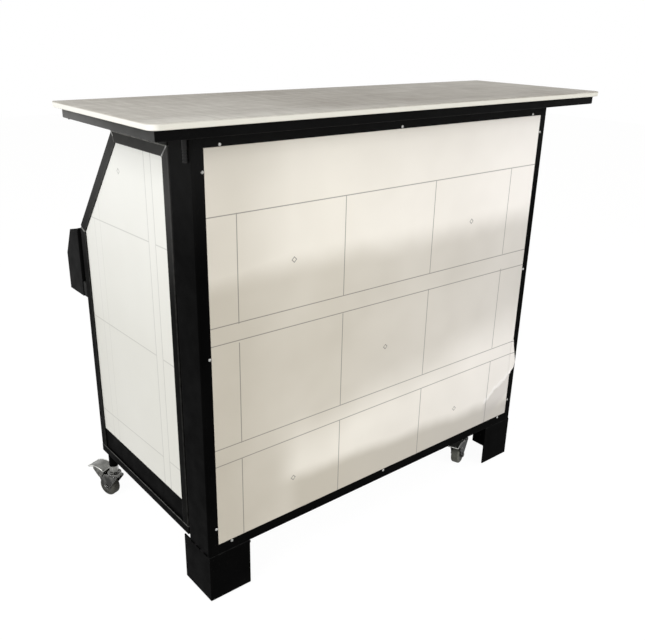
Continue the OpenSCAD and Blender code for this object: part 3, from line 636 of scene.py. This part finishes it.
for corner in CORNERS:
    dress(corner + "_pedal", 0.0013, 2, folded=True)
    dress(corner + "_fork", 0.001, 2, folded=True)


def node_tree(name, sizes):
    """A Geometry Nodes tree with a mesh in and out, an input for each size and one for the finish."""
    tree = bpy.data.node_groups.new(name, "GeometryNodeTree")
    tree.interface.new_socket("Geometry", in_out="INPUT", socket_type="NodeSocketGeometry")
    tree.interface.new_socket("Geometry", in_out="OUTPUT", socket_type="NodeSocketGeometry")
    for label, value in sizes.items():
        kind = "NodeSocketInt" if isinstance(value, int) else "NodeSocketFloat"
        tree.interface.new_socket(label, in_out="INPUT", socket_type=kind).default_value = value
    tree.interface.new_socket("Finish", in_out="INPUT", socket_type="NodeSocketMaterial")
    return tree, tree.nodes.new("NodeGroupInput"), tree.nodes.new("NodeGroupOutput")


def end_tree(tree, start, end, last):
    """Makes instances real, sets the finish and leads the mesh out of the tree."""
    real = tree.nodes.new("GeometryNodeRealizeInstances")
    coat = tree.nodes.new("GeometryNodeSetMaterial")
    tree.links.new(last, real.inputs[0])
    tree.links.new(real.outputs[0], coat.inputs[0])
    tree.links.new(start.outputs["Finish"], coat.inputs["Material"])
    tree.links.new(coat.outputs[0], end.inputs[0])
    return tree


def grown(name, points, lines, tree, values, body, stands_for=()):
    """Runs a tree on points and lines between them and keeps the plain result as a piece."""
    mesh = bpy.data.meshes.new(name)
    mesh.from_pydata(points, lines, [])
    obj = bpy.data.objects.new(name, mesh)
    bpy.context.scene.collection.objects.link(obj)
    mod = obj.modifiers.new(tree.name, "NODES")
    mod.node_group = tree
    for item in tree.interface.items_tree:
        if item.in_out == "INPUT" and item.name in values:
            mod[item.identifier] = values[item.name]
    hand_over(obj, body, stands_for)


def screw_tree():
    """Pan heads with a cross recess, one on each point, turned at random about -Y."""
    tree, start, end = node_tree("pan_head_screws", SCREW_SIZES)
    new, link = tree.nodes.new, tree.links.new

    def fill(node, values):
        for socket, value in zip(node.inputs, values):
            if isinstance(value, bpy.types.NodeSocket):
                link(value, socket)
            else:
                socket.default_value = value
        return node.outputs[0]

    def times(a, b):
        node = new("ShaderNodeMath")
        node.operation = "MULTIPLY"
        return fill(node, (a, b))

    def vector(x, y, z):
        return fill(new("ShaderNodeCombineXYZ"), (x, y, z))

    width, height, recess = (start.outputs[label] for label in ("Head width", "Head height", "Recess"))
    ball = new("GeometryNodeMeshUVSphere")
    ball.inputs["Segments"].default_value = 28
    ball.inputs["Rings"].default_value = 14
    ball.inputs["Radius"].default_value = 1.0
    dome = new("GeometryNodeTransform")
    link(ball.outputs[0], dome.inputs["Geometry"])
    half = times(width, 0.5)
    link(vector(half, half, height), dome.inputs["Scale"])
    reach, deep = times(width, 0.56), times(height, 1.2)
    arms = new("GeometryNodeJoinGeometry")
    for size in (vector(reach, recess, deep), vector(recess, reach, deep)):
        arm = new("GeometryNodeMeshCube")
        link(size, arm.inputs["Size"])
        lift = new("GeometryNodeTransform")
        link(arm.outputs[0], lift.inputs["Geometry"])
        link(vector(0.0, 0.0, height), lift.inputs["Translation"])
        link(lift.outputs[0], arms.inputs[0])
    cut = new("GeometryNodeMeshBoolean")
    cut.operation = "DIFFERENCE"
    link(dome.outputs[0], cut.inputs[0])
    link(arms.outputs[0], cut.inputs[1])
    turn = new("FunctionNodeRandomValue")
    turn.data_type = "FLOAT"
    turn.inputs[3].default_value = 1.5
    link(start.outputs["Seed"], turn.inputs["Seed"])
    spots = new("GeometryNodeMeshToPoints")
    link(start.outputs["Geometry"], spots.inputs[0])
    place = new("GeometryNodeInstanceOnPoints")
    link(spots.outputs[0], place.inputs["Points"])
    link(cut.outputs[0], place.inputs["Instance"])
    link(vector(math.pi / 2, turn.outputs[1], 0.0), place.inputs["Rotation"])
    return end_tree(tree, start, end, place.outputs[0])


def screws():
    """The panel screws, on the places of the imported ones."""
    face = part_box("front_top_rail")[0].y
    spots = []
    for solid in loose_solids("panel_screws"):
        low, high = box_of(solid)
        spots.append(((low.x + high.x) / 2, face, (low.z + high.z) / 2))
    values = {**SCREW_SIZES, "Finish": finishes["screw_zinc"]}
    grown("panel_screws_dressed", spots, [], screw_tree(), values, "frame", ("panel_screws",))


screws()


def weld_tree():
    """Overlapping beads along lines, each slightly different in size."""
    tree, start, end = node_tree("weld_beads", WELD_SIZES)
    new, link = tree.nodes.new, tree.links.new
    curve = new("GeometryNodeMeshToCurve")
    link(start.outputs["Geometry"], curve.inputs[0])
    even = new("GeometryNodeResampleCurve")
    even.mode = "LENGTH"
    link(curve.outputs[0], even.inputs["Curve"])
    link(start.outputs["Step"], even.inputs["Length"])
    ball = new("GeometryNodeMeshIcoSphere")
    ball.inputs["Subdivisions"].default_value = 2
    link(start.outputs["Bead"], ball.inputs["Radius"])
    size = new("FunctionNodeRandomValue")
    size.data_type = "FLOAT"
    size.inputs[2].default_value = 0.75
    size.inputs[3].default_value = 1.1
    link(start.outputs["Seed"], size.inputs["Seed"])
    place = new("GeometryNodeInstanceOnPoints")
    link(even.outputs[0], place.inputs["Points"])
    link(ball.outputs[0], place.inputs["Instance"])
    link(size.outputs[1], place.inputs["Scale"])
    return end_tree(tree, start, end, place.outputs[0])


weld_nodes = weld_tree()


def welds(name, lines, bead, body, slot, mat=None):
    """One piece of weld beads along a list of (start, end) lines."""
    points = [p for line in lines for p in line]
    pairs = [(2 * k, 2 * k + 1) for k in range(len(lines))]
    values = {**WELD_SIZES, "Bead": bead, "Step": bead * BEAD_STEP, "Finish": mat or finishes[slot]}
    grown(name, points, pairs, weld_nodes, values, body)


def leg_welds():
    """Tack welds where the legs meet the posts, outside and behind."""
    half, rear = 0.007, 0.013
    lines = []
    for post in POSTS:
        low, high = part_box(post)
        z = low.z
        outer = low.x if low.x < 0 else high.x
        for y in (low.y + 0.018, low.y + 0.05, high.y - 0.016):
            lines.append(((outer, y - half, z), (outer, y + half, z)))
        x = low.x + 0.006
        lines.append(((x, high.y, z), (x + rear, high.y, z)))
    welds("leg_welds", lines, 0.0022, "frame", "frame_black")


def spacer_welds():
    """Fillet welds of the spacer blocks between posts and wings."""
    short = 0.003
    lines = []
    for solid in loose_solids("wing_spacers"):
        low, high = box_of(solid)
        for z in (low.z, high.z):
            for y in (low.y, high.y):
                lines.append(((low.x + short, y, z), (high.x - short, y, z)))
    welds("spacer_welds", lines, 0.0016, "frame", "frame_black")


def counter_welds():
    """Corner welds of the counter frame, on its underside."""
    short = 0.003
    front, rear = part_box("counter_front_tube"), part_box("counter_rear_tube")
    z = front[0].z
    lines = []
    for solid in loose_solids("counter_side_tubes") + loose_solids("counter_cross_bars"):
        low, high = box_of(solid)
        for y in (front[1].y, rear[0].y):
            lines.append(((low.x + short, y, z), (high.x - short, y, z)))
    welds("counter_welds", lines, 0.0016, "counter", "counter_black")


def mitre_welds():
    """Ground welds across the upper corners of the wings, on their outer faces."""
    short = 0.001
    ground = bright_zinc("ground_weld", (0.42, 0.42, 0.41), 0.4, (0.5, 0.5, 0.49))
    lines = []
    for side in ("left", "right"):
        low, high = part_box(side + "_wing_top_rail")
        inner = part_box(side + "_wing_front_stile")[1].y
        x = low.x if side == "left" else high.x
        top = high.z - short
        lines.append(((x, low.y + short, top), (x, inner - short, low.z + short)))
        lines.append(((x, high.y - short, top), (x, high.y - 0.009, high.z - 0.010)))
    welds("mitre_welds", lines, 0.0014, "frame", "frame_black", ground)


leg_welds()
spacer_welds()
counter_welds()
mitre_welds()


def lip_tree():
    """A rolled lip along lines: a round bead swept along them, its ends closed."""
    tree, start, end = node_tree("rolled_lip", LIP_SIZES)
    new, link = tree.nodes.new, tree.links.new
    curve = new("GeometryNodeMeshToCurve")
    link(start.outputs["Geometry"], curve.inputs[0])
    ring = new("GeometryNodeCurvePrimitiveCircle")
    link(start.outputs["Sides"], ring.inputs["Resolution"])
    link(start.outputs["Lip radius"], ring.inputs["Radius"])
    sweep = new("GeometryNodeCurveToMesh")
    link(curve.outputs[0], sweep.inputs["Curve"])
    link(ring.outputs["Curve"], sweep.inputs["Profile Curve"])
    sweep.inputs["Fill Caps"].default_value = True
    return end_tree(tree, start, end, sweep.outputs[0])


def tread_rim(pedal):
    """The edges round the tread of a brake pedal, as pairs of points."""
    bm = own_skin(pedal)
    join_flats(bm)
    rim = []
    for edge in bm.edges:
        if edge.is_manifold and edge.calc_face_angle() > TREAD_TURN:
            ups = sorted(face.normal.z for face in edge.link_faces)
            if ups[1] > 0.2 and ups[0] < 0.3 and min(v.co.z for v in edge.verts) > TREAD_LOW:
                rim.append([tuple(round(c, 6) for c in v.co) for v in edge.verts])
    bm.free()
    return rim


def pedal_lips():
    """The rolled lip round the tread of each brake pedal."""
    tree = lip_tree()
    values = {**LIP_SIZES, "Finish": bright_zinc("lip_zinc", (0.86, 0.86, 0.82), 0.2, (0.9, 0.9, 0.87))}
    for corner in CORNERS:
        pedal = corner + "_pedal"
        rim = tread_rim(pedal)
        spots = sorted({p for line in rim for p in line})
        index = {spot: k for k, spot in enumerate(spots)}
        lines = sorted(tuple(sorted(index[p] for p in line)) for line in rim)
        grown(pedal + "_lip", spots, lines, tree, values, body_of[pedal])


pedal_lips()


def loose_film():
    """The corner of front film that has come off the board and lies over the right post."""
    proud = min(BOARD_FACE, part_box("front_right_post")[0].y)
    rows, steps = len(FILM_RIM) - 1, FILM_ACROSS - 1
    bm = bmesh.new()
    grid = []
    for row, (z, outer) in enumerate(FILM_RIM):
        line = []
        for k in range(FILM_ACROSS):
            t = k / steps
            x = FILM_INNER + (outer - FILM_INNER) * t
            lift = 0.0006 + 0.0012 * math.sin(1.6 * t) + 0.0010 * t * math.sin(2.1 * row)
            y = proud - lift
            line.append((bm.verts.new((x, y, z)), bm.verts.new((x, y + FILM_SHEET, z))))
        grid.append(line)
    for r in range(rows):
        for k in range(steps):
            a, b, c, d = grid[r][k], grid[r][k + 1], grid[r + 1][k + 1], grid[r + 1][k]
            bm.faces.new((a[0], b[0], c[0], d[0]))
            bm.faces.new((d[1], c[1], b[1], a[1]))
    for r in range(rows):
        for k in (0, steps):
            a, d = grid[r][k], grid[r + 1][k]
            bm.faces.new((a[0], d[0], d[1], a[1]))
    for r in (0, rows):
        for k in range(steps):
            a, b = grid[r][k], grid[r][k + 1]
            bm.faces.new((a[0], a[1], b[1], b[0]))
    bmesh.ops.recalc_face_normals(bm, faces=bm.faces)
    finish_mesh(bm, "loose_film", "frame", own_finish["front_panel"])


loose_film()

# nodes that no piece stands in for
for node, obj in nodes.items():
    if not obj.hide_render:
        obj.data.materials.clear()
        obj.data.materials.append(finish_of(node))


def ray_share(tree):
    """1 for what the camera sees straight on, in a mirror or through glass."""
    path = tree.nodes.new("ShaderNodeLightPath")
    seen = path.outputs["Is Camera Ray"]
    for name in ("Is Glossy Ray", "Is Transmission Ray"):
        node = tree.nodes.new("ShaderNodeMath")
        node.operation = "MAXIMUM"
        tree.links.new(seen, node.inputs[0])
        tree.links.new(path.outputs[name], node.inputs[1])
        seen = node.outputs[0]
    return seen


def two_looks(tree, out, share, lit, seen):
    """Leads lit to the output, giving way to seen by share."""
    mix = tree.nodes.new("ShaderNodeMixShader")
    for socket, source in zip(mix.inputs, (share, lit.outputs[0], seen.outputs[0])):
        tree.links.new(source, socket)
    tree.links.new(mix.outputs[0], out.inputs[0])


def surround():
    """A white surround that lights the part softly."""
    world = bpy.data.worlds.new("studio")
    bpy.context.scene.world = world
    world.use_nodes = True
    tree = world.node_tree
    tree.nodes.clear()
    out = tree.nodes.new("ShaderNodeOutputWorld")
    shown = tree.nodes.new("ShaderNodeBackground")
    shown.inputs[0].default_value = (1.0, 1.0, 1.0, 1.0)
    soft = tree.nodes.new("ShaderNodeBackground")
    soft.inputs[0].default_value = (1.0, 0.985, 0.96, 1.0)
    soft.inputs[1].default_value = 0.42
    two_looks(tree, out, ray_share(tree), soft, shown)


def pale_floor():
    """A pale floor that keeps a soft shadow."""
    h = FLOOR_HALF
    mesh = bpy.data.meshes.new("studio_floor")
    mesh.from_pydata([(-h, -h, 0), (h, -h, 0), (h, h, 0), (-h, h, 0)], [], [(0, 1, 2, 3)])
    floor = bpy.data.objects.new("studio_floor", mesh)
    bpy.context.scene.collection.objects.link(floor)
    mat = bpy.data.materials.new("studio_floor")
    mat.use_nodes = True
    tree = mat.node_tree
    tree.nodes.clear()
    out = tree.nodes.new("ShaderNodeOutputMaterial")
    paint = tree.nodes.new("ShaderNodeBsdfDiffuse")
    paint.inputs[0].default_value = (0.86, 0.86, 0.85, 1.0)
    glow = tree.nodes.new("ShaderNodeEmission")
    glow.inputs[1].default_value = 1.06
    share = tree.nodes.new("ShaderNodeMath")
    share.operation = "MULTIPLY"
    share.inputs[1].default_value = 0.9
    tree.links.new(ray_share(tree), share.inputs[0])
    two_looks(tree, out, share.outputs[0], paint, glow)
    mesh.materials.append(mat)


def studio():
    """White surround, pale floor and three large soft lamps."""
    scene = bpy.context.scene
    scene.view_settings.view_transform = "Standard"
    surround()
    pale_floor()
    for name, place, size, power in LAMPS:
        lamp = bpy.data.lights.new(name, "AREA")
        lamp.energy = power
        lamp.size = size
        obj = bpy.data.objects.new(name, lamp)
        obj.location = place
        obj.rotation_euler = (LAMP_AIM - Vector(place)).to_track_quat("-Z", "Y").to_euler()
        scene.collection.objects.link(obj)


def camera():
    """The photograph's view: its place, its direction and a slight roll."""
    level = math.cos(EYE_TILT)
    ahead = Vector((math.sin(EYE_TURN) * level, math.cos(EYE_TURN) * level, -math.sin(EYE_TILT)))
    right = Vector((math.cos(EYE_TURN), -math.sin(EYE_TURN), 0.0))
    down = ahead.cross(right)
    side = right * math.cos(EYE_ROLL) + down * math.sin(EYE_ROLL)
    fall = down * math.cos(EYE_ROLL) - right * math.sin(EYE_ROLL)
    lens = bpy.data.cameras.new("photo_view")
    lens.sensor_fit = "HORIZONTAL"
    lens.sensor_width = SENSOR_WIDTH
    lens.lens = PHOTO_FOCAL * SENSOR_WIDTH / PHOTO_WIDTH
    obj = bpy.data.objects.new("photo_view", lens)
    world = Matrix((side, -fall, -ahead)).transposed().to_4x4()
    world.translation = EYE
    obj.matrix_world = world
    bpy.context.scene.collection.objects.link(obj)
    bpy.context.scene.camera = obj


studio()
camera()
